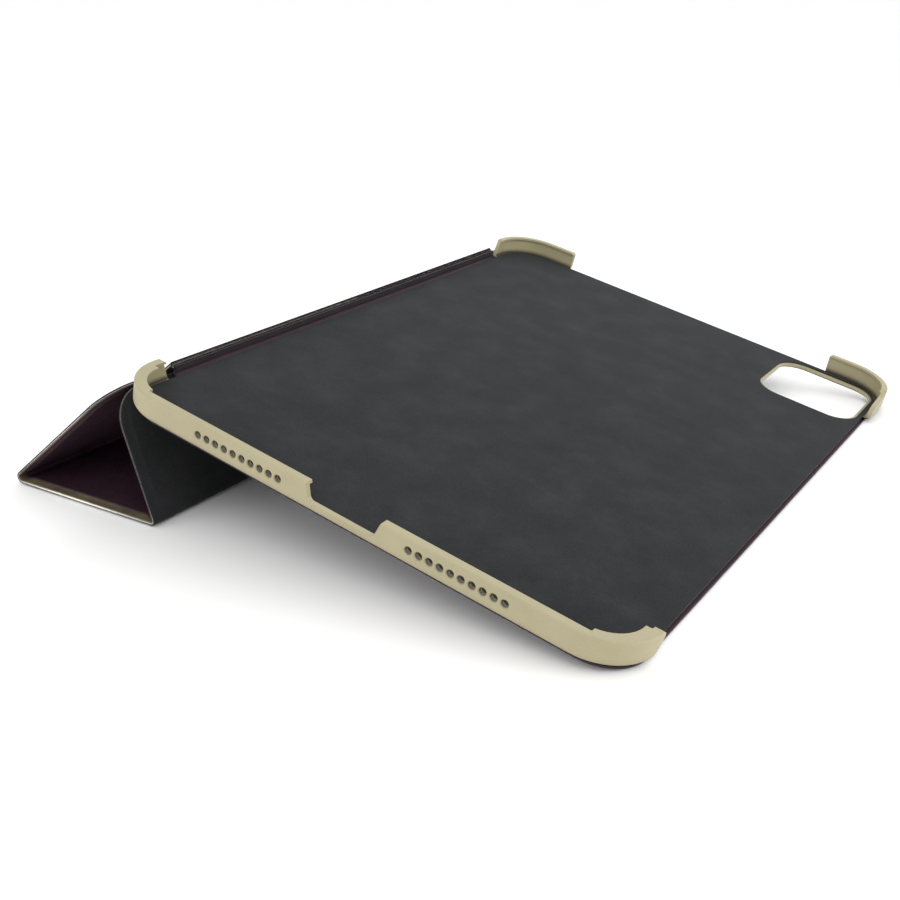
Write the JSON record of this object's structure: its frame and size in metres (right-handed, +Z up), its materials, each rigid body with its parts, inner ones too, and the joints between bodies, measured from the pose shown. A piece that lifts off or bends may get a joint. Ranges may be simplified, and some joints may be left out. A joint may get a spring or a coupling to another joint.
{
  "type": "tablet case",
  "caption": "Folding stand case for an 11-inch tablet: hard tray with corner wraps, and a soft cover that rolls into a triangular prop.",
  "frame": {"origin": "middle of the bottom of the case's box, on the table", "axes": "+X across the case from the furthest fold to the tray's low edge, +Y along the hinge lines away from the charging port, +Z up from the table"},
  "size_m": [0.2382, 0.2516, 0.0502],
  "materials": {
    "hard_shell": "moulded polycarbonate, khaki, fine satin texture with slightly worn lighter lip edges",
    "leather": "very dark aubergine-brown coated leather, fine grain, satin, pressed sheen along the hems",
    "microfibre": "charcoal microfibre with a short brushed nap",
    "board": "dense grey fibre board, sealed inside the cover",
    "magnet": "nickel-plated bar magnets, sealed inside the cover"
  },
  "bodies": {
    "tray": {"rear_shell": "hard_shell", "back_skin": "leather", "tray_lining": "microfibre"},
    "spine": {"spine_skin": "leather", "spine_lining": "microfibre", "spine_root_fold": "leather"},
    "panel_1": {"panel_1_skin": "leather", "panel_1_board": "board", "panel_1_lining": "microfibre", "panel_1_magnets": "magnet", "spine_cover_fold": "leather", "fold_1": "leather"},
    "panel_2": {"panel_2_skin": "leather", "panel_2_board": "board", "panel_2_lining": "microfibre", "fold_2": "leather"},
    "panel_3": {"panel_3_skin": "leather", "panel_3_board": "board", "panel_3_lining": "microfibre", "panel_3_magnets": "magnet", "sleep_magnet": "magnet"}
  },
  "joints": [
    {"name": "spine_swing", "type": "hinge", "parent": "tray", "child": "spine", "pos_m": [-0.0596, 0, 0.04652], "axis": [0, 1, 0], "range_deg": [0, 141.09]},
    {"name": "cover_swing", "type": "hinge", "parent": "spine", "child": "panel_1", "pos_m": [-0.06371, 0, 0.04333], "axis": [0, 1, 0], "range_deg": [0, 90]},
    {"name": "panel_fold", "type": "hinge", "parent": "panel_1", "child": "panel_2", "pos_m": [-0.11816, 0, 0.00095], "axis": [0, 1, 0], "range_deg": [0, 142.11]},
    {"name": "stand_fold", "type": "hinge", "parent": "panel_2", "child": "panel_3", "pos_m": [-0.04916, 0, 0.00095], "axis": [0, 1, 0], "range_deg": [0, 107.4]}
  ],
  "couplings": [
    {"joint": "cover_swing", "follows": "spine_swing", "ratio": 0.63789},
    {"joint": "stand_fold", "follows": "panel_fold", "ratio": 0.75576}
  ]
}
